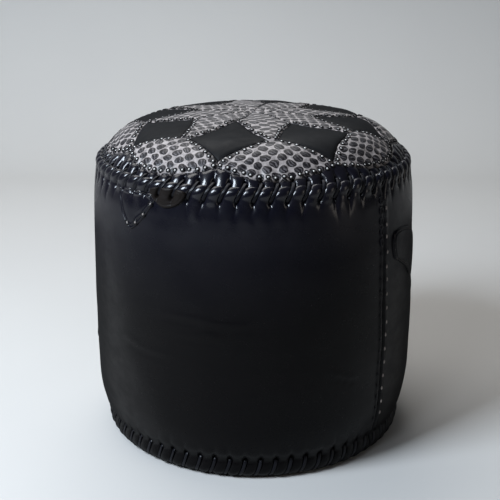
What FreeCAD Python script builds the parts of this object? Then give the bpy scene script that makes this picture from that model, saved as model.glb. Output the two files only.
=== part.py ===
"""A drum-shaped leather pouf: a stuffed core in a cotton liner, inside a laced leather cover.

Millimetres, +Z up, origin on the floor under the centre of the drum. The front is towards -Y.
An angle round the drum is counted in degrees from the front, positive towards +X.
"""
import FreeCAD, Part
import os
from math import asin, atan2, cos, degrees, hypot, radians, sin, sqrt

V = FreeCAD.Vector
ORIGIN = V(0, 0, 0)
UP = V(0, 0, 1)
ALONG_X = V(1, 0, 0)
ALONG_Y = V(0, 1, 0)

# Driving dimensions
HEIGHT = 455.0
DRUM_R = 230.0
LEATHER = 1.4
LINER = 0.8
GAP = 0.3
OVER_ALL = HEIGHT + 50.0

# The crown dome: a wide arc about the axis, then a shoulder arc down to the rim
CROWN_ARC_R = 900.0
SHOULDER_ARC_R = 90.0
CROWN_EDGE_R, CROWN_EDGE_Z = 211.5, 397.5

# The crown's patchwork: an eight-pointed star, squares in its notches, kites outside them
POINTS = 8
STEP_ANGLE = 360.0 / POINTS
HALF_STEP = STEP_ANGLE / 2
FIRST_SQUARE_ANGLE = -13.5
CENTRE_HOLE_R = 1.5
NOTCH_R = 84.0
TIP_R = 150.0
NECK_ANGLE = 2.5
SQUARE_OUT_R = 186.0
SCALLOP_LOW_R = 193.0
SCALLOP_HIGH_R = 206.0

# Knots of the sewing thread, along the seams of the patchwork and of the wall's patches
KNOT_PITCH = 10.0
KNOT_R = 2.8
KNOT_HIGH = 0.7
KNOT_LIFT = 0.15
KNOT_MARGIN = 3.6

# The side wall's outer line, from the base rim to the crown rim, as (radius, height)
WALL_LINE = [(210.6, 23.2), (221.0, 45.0), (228.0, 80.0), (DRUM_R, 130.0), (229.3, 220.0),
             (226.8, 310.0), (224.0, 358.0), (218.5, 387.5)]
SEAM_ANGLES = {"right": 48.5, "left": -131.5}

# Each upright seam: a strip behind it, and a thong stitched slantwise across it
STRIP_WIDE = 26.0
STRIP_THICK = 1.0
THONG_R = 1.0
THONG_LONG = 14.0
THONG_SLANT = 24.0
THONG_PITCH = 14.0
THONG_LOW_Z, THONG_HIGH_Z = 38.0, 372.0

# The patches sewn on the wall: the angle of the middle, how far the patch lies off the wall,
# and the outline as (sideways, height). Those that hang from the rim have no stitches along the top.
SIDE_PATCH_THICK = 1.2
SIDE_PATCHES = {
    "side_patch_shield": (-43.0, 0.1, [(-28, 383), (-28, 366), (-21, 348), (-4, 333), (12, 345),
                                       (28, 363), (36, 383)]),
    "side_patch_small": (-29.0, 1.6, [(-22, 383), (-16, 374), (0, 370), (14, 375), (24, 383)]),
    "side_patch_leaf": (62.0, 0.1, [(-38, 318), (-38, 286), (-24, 277), (8, 258), (36, 238),
                                    (48, 268), (42, 296), (12, 317)]),
}
HUNG_FROM_RIM_Z = 378.0
SIDE_KNOT_R = 1.5
SIDE_KNOT_INSET = 4.0

# The two laced rims, each a rolled welt with the loops of a thong round it
RIMS = {"crown_rim": (217.0, 394.0), "base_rim": (208.0, 17.0)}
WELT_R = 5.0
LACE_LOOP_R = 8.2
LACE_R = 1.7
LACE_COUNT = 66
LACE_SLANT = 26.0

# The base stands on a flat ring, and is drawn up in the middle, where the zip is
BASE_EDGE_LINE = [(208.0, 11.0), (206.6, 6.2), (202.8, 1.9), (196.0, 0.0)]
BASE_EDGE_INNER_LINE = [(206.6, 11.2), (205.2, 6.8), (201.8, 3.2), (196.0, LEATHER)]
RECESS_Z = 9.0
BASE_RISE_LINE = [(168.0, 0.0), (162.0, 0.8), (152.0, RECESS_Z - 0.8), (146.0, RECESS_Z)]

# The zip across the middle of the base, seen from below: tapes, teeth, stops, slider and pull
ZIP_LONG = 270.0
ZIP_SLOT_WIDE = 14.0
TAPE_THICK = 0.8
TAPE_INNER_Y, TAPE_OUTER_Y = 1.2, 18.0
TAPE_PAST_ZIP = 4.0
TAPE_Z = RECESS_Z + LEATHER + 0.1
TOOTH_PITCH = 2.8
TOOTH_LONG, TOOTH_WIDE, TOOTH_HIGH = 1.5, 2.6, 1.9
TOOTH_INNER_Y = 0.8
TOOTH_TOP_Z = TAPE_Z - 0.05
TEETH = 92
STOP_LONG, STOP_WIDE, STOP_HIGH = 2.0, 6.0, 2.2
SLIDER_LONG, SLIDER_WIDE = 11.0, 9.8
SLIDER_PLATE = 1.2
SLIDER_CLEAR = 0.35
SLIDER_LIP = 1.0
WEB_LONG, WEB_WIDE = 3.0, 0.9
LUG_LONG, LUG_WIDE, LUG_DROP = 3.4, 1.2, 2.9
PIN_R = 0.8
PIN_BACK = 2.7
PIN_DROP = 1.5
SLIDER_BACK_X = ZIP_LONG / 2 - STOP_LONG - 0.5 - SLIDER_LONG
SLIDER_PLATE_TOP_Z = TOOTH_TOP_Z - TOOTH_HIGH - SLIDER_CLEAR
PIN_X = SLIDER_BACK_X + PIN_BACK
PIN_Z = SLIDER_PLATE_TOP_Z - SLIDER_PLATE - PIN_DROP
EYE_R = PIN_R + 0.08
EYE_WALL = 0.45
EYE_WIDE = 6.0
PULL_LONG, PULL_WIDE, PULL_THICK = 20.0, 6.4, 1.4
PULL_CORNER_R = 2.4
PULL_HOLE_R = 1.6
PULL_HOLE_FROM_END = 5.5
PULL_HANG = 10.0

# The filling: a foam core, wadding round it, a pad on top, in a cotton liner
CORE_R, CORE_BOTTOM_Z, CORE_TOP_Z = 196.0, 18.0, 368.0
FILL_CLEAR = 0.4
PAD_BOTTOM_R = 192.0
LINER_BASE_R, LINER_BASE_Z = 196.0, 14.0
LINER_SIDE_LINE = [(197.5, 13.6), (200.5, 20.0), (209.5, 32.0), (218.0, 52.0), (224.0, 84.0),
                   (226.0, 130.0), (225.3, 220.0), (222.8, 310.0), (219.5, 348.0), (213.5, 371.0),
                   (204.0, 392.0)]
LINER_CROWN_LINE = [(0.0, HEIGHT - 2.4), (75.0, 449.2), (140.0, 440.8), (170.0, 431.0),
                    (190.0, 415.0), (203.6, 392.8)]


# ---- general helpers -----------------------------------------------------------------------

def around(radius, angle, height=0.0):
    """The point at that radius, angle from the front and height."""
    return V(radius * sin(radians(angle)), -radius * cos(radians(angle)), height)


def turned(shape, angle):
    copy = shape.copy()
    copy.rotate(ORIGIN, UP, angle)
    return copy


def save(name, shape):
    """One solid, or a compound of separate ones, to parts/NAME.step."""
    assert shape.isValid() and shape.Volume > 0, name
    shape.exportStep("parts/%s.step" % name)
    print("%-24s solids %4d  volume %11.1f mm3" % (name, len(shape.Solids), shape.Volume))


def box(x0, x1, y0, y1, z0, z1):
    return Part.makeBox(x1 - x0, y1 - y0, z1 - z0, V(x0, y0, z0))


def profile_point(radius, height):
    """A point of a profile, which is drawn in the plane through the axis and the front."""
    return V(0, -radius, height)


def smooth_edge(line):
    """One smooth edge through (radius, height) points."""
    curve = Part.BSplineCurve()
    curve.interpolate([profile_point(r, z) for r, z in line])
    return curve.toShape()


def lines_through(points):
    return [Part.LineSegment(a, b).toShape() for a, b in zip(points, points[1:])]


def straight_edges(line):
    """Straight edges through (radius, height) points."""
    return lines_through([profile_point(r, z) for r, z in line])


def face_inside(edges):
    return Part.Face(Part.Wire(Part.__sortEdges__(edges)))


def revolved(edges, first_angle=0.0, sweep=360.0):
    """The solid that a closed profile sweeps about the drum's axis."""
    solid = face_inside(edges).revolve(ORIGIN, UP, sweep)
    return turned(solid if solid.Volume > 0 else solid.reversed(), first_angle)


def layer(outer, inner, first_angle=0.0, sweep=360.0):
    """The revolved layer between two smooth lines with the same ends' order."""
    edges = [smooth_edge(outer), smooth_edge(inner)]
    edges += straight_edges([outer[0], inner[0]]) + straight_edges([outer[-1], inner[-1]])
    return revolved(edges, first_angle, sweep)


# ---- the dome ------------------------------------------------------------------------------

def dome_arcs():
    """Where the dome's arcs are centred and where they join in one tangent line."""
    low = HEIGHT - CROWN_ARC_R
    reach = hypot(CROWN_EDGE_R, CROWN_EDGE_Z - low)
    between = CROWN_ARC_R - SHOULDER_ARC_R
    cosine = (reach ** 2 + between ** 2 - SHOULDER_ARC_R ** 2) / (2 * reach * between)
    tilt = atan2(CROWN_EDGE_R, CROWN_EDGE_Z - low) - atan2(sqrt(1 - cosine ** 2), cosine)
    return low, tilt, between * sin(tilt), low + between * cos(tilt)


CROWN_CENTRE_Z, JOIN_TILT, SHOULDER_CENTRE_R, SHOULDER_CENTRE_Z = dome_arcs()
EDGE_TILT = asin((CROWN_EDGE_R - SHOULDER_CENTRE_R) / SHOULDER_ARC_R)


def dome_point(tilt, inset=0.0):
    """The (radius, height) where the dome's normal has that tilt, in radians from the vertical."""
    if tilt < JOIN_TILT:
        return (CROWN_ARC_R - inset) * sin(tilt), CROWN_CENTRE_Z + (CROWN_ARC_R - inset) * cos(tilt)
    reach = SHOULDER_ARC_R - inset
    return SHOULDER_CENTRE_R + reach * sin(tilt), SHOULDER_CENTRE_Z + reach * cos(tilt)


def dome_tilt(radius):
    """Tilt of the dome's normal, in radians from the vertical, at that radius."""
    if radius < CROWN_ARC_R * sin(JOIN_TILT):
        return asin(radius / CROWN_ARC_R)
    return asin((radius - SHOULDER_CENTRE_R) / SHOULDER_ARC_R)


def dome_edges(inset):
    """The dome's two arcs, offset inwards."""
    edges = []
    for first, last in ((0.0, JOIN_TILT), (JOIN_TILT, EDGE_TILT)):
        # The join belongs to both arcs, so a hair is kept on the near side of it
        tilts = (first, (first + last) / 2, last - 1e-12)
        edges.append(Part.Arc(*[profile_point(*dome_point(t, inset)) for t in tilts]).toShape())
    return edges


def dome_shell():
    ends = [straight_edges([dome_point(t), dome_point(t, LEATHER)]) for t in (0.0, EDGE_TILT)]
    return revolved(dome_edges(0.0) + dome_edges(LEATHER) + ends[0] + ends[1])


# ---- the crown's patchwork -----------------------------------------------------------------

def scallop_arc():
    """The bulging outer edge of a kite, about angle 0."""
    return Part.Arc(around(SCALLOP_LOW_R, -HALF_STEP), around(SCALLOP_HIGH_R, 0),
                    around(SCALLOP_LOW_R, HALF_STEP)).toShape()


def outline(corners):
    """Straight edges round a closed plan, from (radius, angle) corners."""
    points = [around(r, a) for r, a in corners]
    return lines_through(points + points[:1])


def star_outline():
    return outline([(CENTRE_HOLE_R, -HALF_STEP), (NOTCH_R, -HALF_STEP), (TIP_R, -NECK_ANGLE),
                    (TIP_R, NECK_ANGLE), (NOTCH_R, HALF_STEP), (CENTRE_HOLE_R, HALF_STEP)])


def square_outline():
    side = HALF_STEP - NECK_ANGLE
    return outline([(NOTCH_R, 0), (TIP_R, side), (SQUARE_OUT_R, 0), (TIP_R, -side)])


def kite_outline():
    sides = [(SCALLOP_LOW_R, -HALF_STEP), (SQUARE_OUT_R, -HALF_STEP), (TIP_R, -NECK_ANGLE),
             (TIP_R, NECK_ANGLE), (SQUARE_OUT_R, HALF_STEP), (SCALLOP_LOW_R, HALF_STEP)]
    return lines_through([around(r, a) for r, a in sides]) + [scallop_arc()]


def crown_patches():
    """Twenty-four patches, each the dome's leather inside a plan outline, and a border round them."""
    shell = dome_shell()
    kinds = {
        "crown_star_point": (star_outline(), HALF_STEP),
        "crown_square": (square_outline(), 0.0),
        "crown_kite": (kite_outline(), HALF_STEP),
    }
    for name, (edges, offset) in kinds.items():
        patch = face_inside(edges).extrude(UP * OVER_ALL).common(shell).Solids[0]
        for n in range(POINTS):
            angle = FIRST_SQUARE_ANGLE + offset + n * STEP_ANGLE
            save("%s_%d" % (name, n + 1), turned(patch, angle))
    scallops = [turned(scallop_arc(), n * STEP_ANGLE) for n in range(POINTS)]
    inside = face_inside(scallops).extrude(UP * OVER_ALL)
    border = shell.cut(turned(inside, FIRST_SQUARE_ANGLE + HALF_STEP))
    save("crown_border", border.Solids[0])


def spots_along(start, end, margin):
    """Places for knots, evenly along a straight seam and moved sideways by the margin."""
    run = end - start
    side = V(run.y, -run.x, 0).normalize() * margin
    count = round(run.Length / KNOT_PITCH)
    return [start + run * ((k + 0.5) / count) + side for k in range(count)]


def spots_in_sector():
    """Places for knots on one star point and one kite, about angle 0, on their side of the seams."""
    seams = [(around(NOTCH_R, HALF_STEP), around(TIP_R, NECK_ANGLE)),
             (around(TIP_R, NECK_ANGLE), around(SQUARE_OUT_R, HALF_STEP))]
    spots = spots_along(around(2 * KNOT_PITCH, HALF_STEP), around(NOTCH_R, HALF_STEP), 0)
    for start, end in seams:
        right = spots_along(start, end, KNOT_MARGIN)
        spots += right + [V(-p.x, p.y, 0) for p in right]
    arc = scallop_arc()
    count = round(arc.Length / KNOT_PITCH)
    for p in arc.discretize(Number=2 * count + 1)[1::2]:
        spots.append(p * (1 - KNOT_MARGIN / p.Length))
    return spots


def knot_on_dome(spot):
    radius = spot.Length
    tilt = dome_tilt(radius)
    normal = V(spot.x / radius * sin(tilt), spot.y / radius * sin(tilt), cos(tilt))
    foot = V(spot.x, spot.y, dome_point(tilt)[1]) + normal * KNOT_LIFT
    return Part.makeCylinder(KNOT_R, KNOT_HIGH, foot, normal)


def crown_stitches():
    knots = [knot_on_dome(spot) for spot in spots_in_sector()]
    angles = [FIRST_SQUARE_ANGLE + HALF_STEP + n * STEP_ANGLE for n in range(POINTS)]
    save("crown_stitches", Part.makeCompound([turned(k, a) for a in angles for k in knots]))


# ---- the side wall -------------------------------------------------------------------------

def inset_line(line, inset):
    return [(r - inset, z) for r, z in line]


def wall_layer(inset, thickness, first_angle=0.0, sweep=360.0, line=WALL_LINE):
    """A layer of the side wall, from inset inwards, over part of the way round."""
    return layer(inset_line(line, inset), inset_line(line, inset + thickness), first_angle, sweep)


def wall_radius(height):
    """Radius of the wall's outer face at that height."""
    level = Part.LineSegment(profile_point(0, height), profile_point(2 * DRUM_R, height)).toShape()
    return -smooth_edge(WALL_LINE).distToShape(level)[1][0][0].y


def side_panels():
    """Two panels that meet, with a hair between them, at the two upright seams."""
    gap = degrees(GAP / DRUM_R)
    starts = {"side_panel_front": SEAM_ANGLES["left"], "side_panel_back": SEAM_ANGLES["right"]}
    for name, start in starts.items():
        save(name, wall_layer(0, LEATHER, start + gap, 180.0 - 2 * gap))


def thong_stitch(height):
    """One slanted stitch across a seam at angle 0, just clear of the wall."""
    along = V(cos(radians(THONG_SLANT)), 0, sin(radians(THONG_SLANT)))
    rise = THONG_LONG / 2 * along.z
    reach = max(wall_radius(height - rise), wall_radius(height + rise)) + THONG_R + GAP
    start = V(0, -reach, height) - along * (THONG_LONG / 2)
    return Part.makeCylinder(THONG_R, THONG_LONG, start, along)


def side_seams():
    wide = degrees(STRIP_WIDE / DRUM_R)
    count = round((THONG_HIGH_Z - THONG_LOW_Z) / THONG_PITCH)
    heights = [THONG_LOW_Z + (k + 0.5) * THONG_PITCH for k in range(count)]
    stitches = [thong_stitch(height) for height in heights]
    for name, angle in SEAM_ANGLES.items():
        strip = wall_layer(LEATHER + GAP, STRIP_THICK, angle - wide / 2, wide, WALL_LINE[1:-1])
        save("side_seam_strip_" + name, strip)
        save("side_seam_thong_" + name, Part.makeCompound([turned(s, angle) for s in stitches]))


def side_knots(corners, angle, lift, closed):
    """Small knots along a patch's sewn edges, standing on its face."""
    middle = V(sum(u for u, _ in corners), 0, sum(z for _, z in corners)) * (1 / len(corners))
    points = [V(u, 0, z) for u, z in corners]
    if closed:
        points.append(points[0])
    knots = []
    for start, end in zip(points, points[1:]):
        run = end - start
        count = max(1, round(run.Length / KNOT_PITCH))
        for k in range(count):
            edge = start + run * ((k + 0.5) / count)
            spot = edge + (middle - edge).normalize() * SIDE_KNOT_INSET
            if spot.z < HUNG_FROM_RIM_Z:
                turn = angle + degrees(asin(spot.x / DRUM_R))
                normal = around(1, turn, wall_radius(spot.z - 0.5) - wall_radius(spot.z + 0.5))
                normal.normalize()
                foot = around(wall_radius(spot.z), turn, spot.z)
                foot += normal * (lift + SIDE_PATCH_THICK + KNOT_LIFT)
                knots.append(Part.makeCylinder(SIDE_KNOT_R, KNOT_HIGH, foot, normal))
    return knots


def side_patches():
    """Patches sewn on the wall, each the layer just outside it within an outline seen square on."""
    knots = []
    for name, (angle, lift, corners) in SIDE_PATCHES.items():
        points = [V(u, 0, z) for u, z in corners]
        prism = face_inside(lines_through(points + points[:1])).extrude(ALONG_Y * -OVER_ALL)
        skin = wall_layer(-lift - SIDE_PATCH_THICK, SIDE_PATCH_THICK)
        save(name, turned(prism, angle).common(skin).Solids[0])
        hangs = max(z for _, z in corners) > HUNG_FROM_RIM_Z
        knots += side_knots(corners, angle, lift, closed=not hangs)
    save("side_patch_stitches", Part.makeCompound(knots))


# ---- the laced rims ------------------------------------------------------------------------

def laced_rims():
    """At each rim a rolled welt, and the loops of the thong that is laced round it."""
    loop = Part.makeTorus(LACE_LOOP_R, LACE_R, ORIGIN, ALONG_X)
    loop.rotate(ORIGIN, ALONG_Y, LACE_SLANT)
    for name, (radius, height) in RIMS.items():
        save(name + "_welt", Part.makeTorus(radius, WELT_R, V(0, 0, height), UP))
        first = loop.copy()
        first.translate(V(0, -radius, height))
        loops = [turned(first, (k + 0.5) * 360.0 / LACE_COUNT) for k in range(LACE_COUNT)]
        save(name + "_lacing", Part.makeCompound(loops))


# ---- the base and its zip ------------------------------------------------------------------

def raised(line):
    """A profile line, moved up by the leather's thickness."""
    return [(r, z + LEATHER) for r, z in line]


def base_panels():
    """Two half discs: flat where they rest, drawn up in the middle, with a slot for the zip."""
    flat = [BASE_RISE_LINE[0], BASE_EDGE_LINE[-1]]
    middle = [BASE_RISE_LINE[-1], (0, RECESS_Z)]
    edges = [smooth_edge(BASE_EDGE_LINE), smooth_edge(BASE_RISE_LINE)]
    edges += [smooth_edge(BASE_EDGE_INNER_LINE), smooth_edge(raised(BASE_RISE_LINE))]
    for line in (flat, middle):
        edges += straight_edges(line) + straight_edges(raised(line))
    edges += straight_edges([BASE_EDGE_LINE[0], BASE_EDGE_INNER_LINE[0]])
    edges += straight_edges([(0, RECESS_Z), (0, RECESS_Z + LEATHER)])
    slot = box(-ZIP_LONG / 2, ZIP_LONG / 2, -ZIP_SLOT_WIDE / 2, ZIP_SLOT_WIDE / 2, -HEIGHT, HEIGHT)
    parting = box(-DRUM_R, DRUM_R, -GAP / 2, GAP / 2, -HEIGHT, HEIGHT)
    for half in revolved(edges).cut(slot).cut(parting).Solids:
        save("base_panel_front" if half.CenterOfMass.y < 0 else "base_panel_back", half)


def mirrored_in_y(shape, side):
    return shape.copy() if side > 0 else shape.mirror(ORIGIN, ALONG_Y)


def zip_rows():
    """On each side of the opening a tape with its row of teeth, the rows half a pitch apart."""
    end = ZIP_LONG / 2 + TAPE_PAST_ZIP
    tape = box(-end, end, TAPE_INNER_Y, TAPE_OUTER_Y, TAPE_Z, TAPE_Z + TAPE_THICK)
    tooth = box(0, TOOTH_LONG, TOOTH_INNER_Y, TOOTH_INNER_Y + TOOTH_WIDE,
                TOOTH_TOP_Z - TOOTH_HIGH, TOOTH_TOP_Z)
    for name, side in (("front", -1), ("back", 1)):
        save("zip_tape_" + name, mirrored_in_y(tape, side))
        teeth = []
        for k in range(TEETH):
            copy = mirrored_in_y(tooth, side)
            copy.translate(ALONG_X * (TOOTH_PITCH * (k - TEETH / 2 + side / 4)))
            teeth.append(copy)
        save("zip_teeth_" + name, Part.makeCompound(teeth))


def zip_stops():
    top = TOOTH_TOP_Z
    for name, x in (("open_end", -ZIP_LONG / 2), ("closed_end", ZIP_LONG / 2 - STOP_LONG)):
        stop = box(x, x + STOP_LONG, -STOP_WIDE / 2, STOP_WIDE / 2, top - STOP_HIGH, top)
        save("zip_stop_" + name, stop)


def zip_slider():
    """Two plates joined by a thin web, side lips, and lugs below that hold the pull's pin."""
    back = SLIDER_BACK_X
    front = back + SLIDER_LONG
    half = SLIDER_WIDE / 2
    low = SLIDER_PLATE_TOP_Z
    high = TAPE_Z + TAPE_THICK + SLIDER_CLEAR
    body = box(back, front, -half, half, low - SLIDER_PLATE, low)
    body = body.fuse(box(back, front, -half, half, high, high + SLIDER_PLATE))
    body = body.fuse(box(front - 1 - WEB_LONG, front - 1, -WEB_WIDE / 2, WEB_WIDE / 2, low, high))
    lip = box(back, front, half - SLIDER_LIP, half, low, TAPE_Z - SLIDER_CLEAR)
    bottom = low - SLIDER_PLATE
    lug = box(back + 1, back + 1 + LUG_LONG, half - LUG_WIDE, half, bottom - LUG_DROP, bottom)
    for side in (-1, 1):
        body = body.fuse(mirrored_in_y(lip, side)).fuse(mirrored_in_y(lug, side))
    pin = Part.makeCylinder(PIN_R, SLIDER_WIDE - LUG_WIDE, V(PIN_X, LUG_WIDE / 2 - half, PIN_Z), ALONG_Y)
    save("zip_slider", body.fuse(pin).removeSplitter().Solids[0])


def zip_pull():
    """A flat tab with an eye round the slider's pin, hanging a little below level."""
    half = PULL_WIDE / 2
    eye = Part.makeCylinder(EYE_R + EYE_WALL, EYE_WIDE, V(0, -EYE_WIDE / 2, 0), ALONG_Y)
    tab = box(-PULL_LONG, 0, -half, half, -PULL_THICK / 2, PULL_THICK / 2)
    corners = [edge for edge in tab.Edges if edge.BoundBox.XMax < GAP - PULL_LONG
               and edge.BoundBox.YLength < GAP]
    tab = tab.makeFillet(PULL_CORNER_R, corners)
    bore = Part.makeCylinder(EYE_R, 2 * PULL_WIDE, V(0, -PULL_WIDE, 0), ALONG_Y)
    hole = Part.makeCylinder(PULL_HOLE_R, 2 * PULL_THICK, V(PULL_HOLE_FROM_END - PULL_LONG, 0, -PULL_THICK))
    pull = tab.fuse(eye).cut(bore).cut(hole).removeSplitter()
    pull.rotate(ORIGIN, ALONG_Y, -PULL_HANG)
    pull.translate(V(PIN_X, 0, PIN_Z))
    save("zip_pull", pull.Solids[0])


# ---- the filling ---------------------------------------------------------------------------

def liner_bag():
    save("liner_side", layer(LINER_SIDE_LINE, inset_line(LINER_SIDE_LINE, LINER)))
    save("liner_crown", layer(LINER_CROWN_LINE, [(r, z - LINER) for r, z in LINER_CROWN_LINE]))
    save("liner_base", Part.makeCylinder(LINER_BASE_R, LINER, V(0, 0, LINER_BASE_Z)))


def wadding_sleeve():
    """The wadding between the core and the liner's side."""
    outer = inset_line(LINER_SIDE_LINE[2:-2], LINER + FILL_CLEAR)
    inner_r = CORE_R + FILL_CLEAR
    edges = [smooth_edge(outer)]
    edges += straight_edges([outer[0], (inner_r, outer[0][1]), (inner_r, outer[-1][1]), outer[-1]])
    save("wadding_sleeve", revolved(edges))


def crown_pad():
    """The domed pad between the core and the liner's crown."""
    top = [(r, z - LINER - FILL_CLEAR) for r, z in LINER_CROWN_LINE[:-1]]
    bottom = CORE_TOP_Z + FILL_CLEAR
    edges = [smooth_edge(top)] + straight_edges([top[-1], (PAD_BOTTOM_R, bottom), (0, bottom), top[0]])
    save("crown_pad", revolved(edges))


def main():
    os.makedirs("parts", exist_ok=True)
    crown_patches()
    crown_stitches()
    side_panels()
    side_seams()
    side_patches()
    laced_rims()
    base_panels()
    zip_rows()
    zip_stops()
    zip_slider()
    zip_pull()
    save("foam_core", Part.makeCylinder(CORE_R, CORE_TOP_Z - CORE_BOTTOM_Z, V(0, 0, CORE_BOTTOM_Z)))
    liner_bag()
    wadding_sleeve()
    crown_pad()


main()
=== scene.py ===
"""The looks of a leather pouf with a patchwork crown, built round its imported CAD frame.

Metres, +Z up. The front is towards -Y, and an angle round the drum is counted from the front,
positive towards +X. What the lace pulls in and what bulges between its turns is worked out as a
distance off the smooth drum, so that the patches, stitches and lace all sit on the same leather.
"""
from math import atan2, cos, hypot, pi, radians, sin, sqrt

import bpy
import numpy as np
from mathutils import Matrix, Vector


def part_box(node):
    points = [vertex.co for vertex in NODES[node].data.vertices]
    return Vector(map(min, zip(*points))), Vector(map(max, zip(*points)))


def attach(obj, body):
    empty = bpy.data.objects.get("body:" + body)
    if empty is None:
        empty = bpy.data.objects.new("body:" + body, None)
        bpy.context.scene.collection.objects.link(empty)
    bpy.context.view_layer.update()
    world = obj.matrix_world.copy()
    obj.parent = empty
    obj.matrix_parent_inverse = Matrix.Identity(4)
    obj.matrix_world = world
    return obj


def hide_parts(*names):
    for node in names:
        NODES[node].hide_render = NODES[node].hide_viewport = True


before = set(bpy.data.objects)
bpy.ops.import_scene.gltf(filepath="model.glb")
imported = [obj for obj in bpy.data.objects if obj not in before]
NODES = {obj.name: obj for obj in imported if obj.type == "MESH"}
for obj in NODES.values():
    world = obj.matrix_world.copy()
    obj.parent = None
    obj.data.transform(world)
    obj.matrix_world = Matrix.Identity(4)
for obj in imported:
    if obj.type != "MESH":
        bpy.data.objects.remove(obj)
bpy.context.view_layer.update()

MM = 0.001
TURN = 2 * pi


def ring_radius(node):
    """Radius of the middle of a ring-shaped node."""
    low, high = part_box(node)
    return high.x - (high.z - low.z) / 2


# The drum, from the frame, and the thickness of its leather
DRUM_R = -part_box("side_panel_front")[0].y
CROWN_RIM_R = ring_radius("crown_rim_welt")
CROWN_TOP_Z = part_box("crown_star_point_1")[1].z
LEATHER = 1.4 * MM

# The wall's outline, in millimetres: the CAD's, but wrapped round both rims up to where it meets the
# crown and the base, and a little wider at the base rim
WALL_LINE = [(203.5, 3.2), (209.6, 3.8), (214.8, 8.2), (216.8, 15), (216.0, 22), (214.8, 27.5), (217.2, 33),
             (222.6, 45), (228.4, 80), (230, 130), (229.3, 220), (226.8, 310), (224, 358), (219.9, 380),
             (218.8, 387), (219.1, 392.5), (217.6, 397.2), (213.8, 400.6), (209.3, 400.8)]
SEAM_RIGHT, SEAM_LEFT = radians(48.5), radians(-131.5)

# The crown's dome and the plan of its patchwork, as in the CAD
CROWN_ARC_R = 900 * MM
SHOULDER_ARC_R = 90 * MM
EDGE_DROP_R, EDGE_DROP_Z = 211.5 * MM, 397.5 * MM
CROWN_HOLE_R = 206.5 * MM
POINTS = 8
STEP = TURN / POINTS
FIRST_SQUARE = radians(-13.5)
CENTRE_R, NOTCH_R, TIP_R, SQUARE_OUT_R = 1.0 * MM, 84 * MM, 150 * MM, 186 * MM
NECK = radians(2.5)
SCALLOP_LOW_R, SCALLOP_HIGH_R = 193 * MM, 206 * MM

# The lace: turns round each rim, the middle of each rim as the leather wraps it, the directions
# from there of a turn's first and last hole, and how far round the drum a turn leans between them
LACE_TURNS = 66
LACE_PITCH = TURN * CROWN_RIM_R / LACE_TURNS
LACE_LEAN = 0.5
CROWN_WRAP = (211 * MM, 392 * MM, radians(-48), radians(108))
BASE_WRAP = (208 * MM, 14 * MM, radians(-108), radians(66))
TOP_HOLE_Z, BASE_HOLE_Z = 383.5 * MM, 28.5 * MM
SLOT_DEPTH, SLOT_HALF_WIDE = 2.9 * MM, 2.5 * MM
HOLE_DEPTH, HOLE_HALF_WIDE, HOLE_HALF_LONG = 3.6 * MM, 2.3 * MM, 3.0 * MM
THONG_HALF_WIDE, THONG_HALF_THICK = 2.2 * MM, 0.9 * MM
WELT_R = 5 * MM
COLUMNS_PER_TURN = 16


# ---- number helpers ----

def smooth(t):
    t = np.clip(t, 0, 1)
    return t * t * (3 - 2 * t)


def soft_noise(u, v, seed):
    """Smooth noise from about -1 to 1 on a lattice of unit cells, which repeats every 66 cells of u."""
    cells = np.random.default_rng(seed).uniform(-1, 1, (LACE_TURNS, LACE_TURNS))
    u, v = np.broadcast_arrays(u, v)
    iu, iv = np.floor(u).astype(int), np.floor(v).astype(int)
    fu, fv = smooth(u - iu), smooth(v - iv)

    def cell(du, dv):
        return cells[(iu + du) % LACE_TURNS, (iv + dv) % LACE_TURNS]

    low = cell(0, 0) * (1 - fu) + cell(1, 0) * fu
    high = cell(0, 1) * (1 - fu) + cell(1, 1) * fu
    return low * (1 - fv) + high * fv


def per_turn(seed):
    """One random number from 0 to 1 for each turn of the lace."""
    return np.random.default_rng(seed).uniform(0, 1, LACE_TURNS)


def spline_through(points, per_span, closed=False):
    """Points along a smooth line through the given ones."""
    p = np.array(points, float)
    n = len(p)
    spans = n if closed else n - 1
    out = []
    for k in range(spans):
        index = [(k + d) % n if closed else min(max(k + d, 0), n - 1) for d in (-1, 0, 1, 2)]
        a, b, c, d = p[index]
        t = np.linspace(0, 1, per_span, endpoint=False)[:, None]
        out.append(0.5 * (2 * b + (c - a) * t + (2 * a - 5 * b + 4 * c - d) * t ** 2
                          + (3 * b - a - 3 * c + d) * t ** 3))
    if not closed:
        out.append(p[-1:])
    return np.concatenate(out)


def cut_corners(points, times):
    """A closed outline with its corners rounded, which stays inside the given one."""
    p = np.array(points, float)
    for _ in range(times):
        after = np.roll(p, -1, 0)
        p = np.stack([0.75 * p + 0.25 * after, 0.25 * p + 0.75 * after], 1).reshape(-1, 2)
    return p


def at_lengths(line, fractions):
    """Points at those fractions of a polyline's length."""
    steps = np.r_[0, np.cumsum(np.linalg.norm(np.diff(line, axis=0), axis=1))]
    wanted = np.asarray(fractions) * steps[-1]
    return np.stack([np.interp(wanted, steps, line[:, i]) for i in range(line.shape[1])], -1)


def unit(vectors):
    return vectors / np.linalg.norm(vectors, axis=-1)[..., None]


def round_drum(radius, phi, z):
    """Points at a radius, an angle round the drum and a height."""
    radius, phi, z = np.broadcast_arrays(radius, phi, z)
    return np.stack([radius * np.sin(phi), -radius * np.cos(phi), z], -1)


# ---- mesh helpers ----

def grid_faces(rows, columns, wrap_rows=False, wrap_columns=False):
    """Quads of a grid of points, numbered row by row."""
    i = np.arange(rows if wrap_rows else rows - 1)[:, None]
    j = np.arange(columns if wrap_columns else columns - 1)[None, :]
    i2, j2 = (i + 1) % rows, (j + 1) % columns
    corners = [i * columns + j, i * columns + j2, i2 * columns + j2, i2 * columns + j]
    return np.stack([np.broadcast_to(c, (i.size, j.size)) for c in corners], -1).reshape(-1, 4)


def put(name, data):
    """A new object in the scene."""
    thing = bpy.data.objects.new(name, data)
    bpy.context.scene.collection.objects.link(thing)
    return thing


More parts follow.
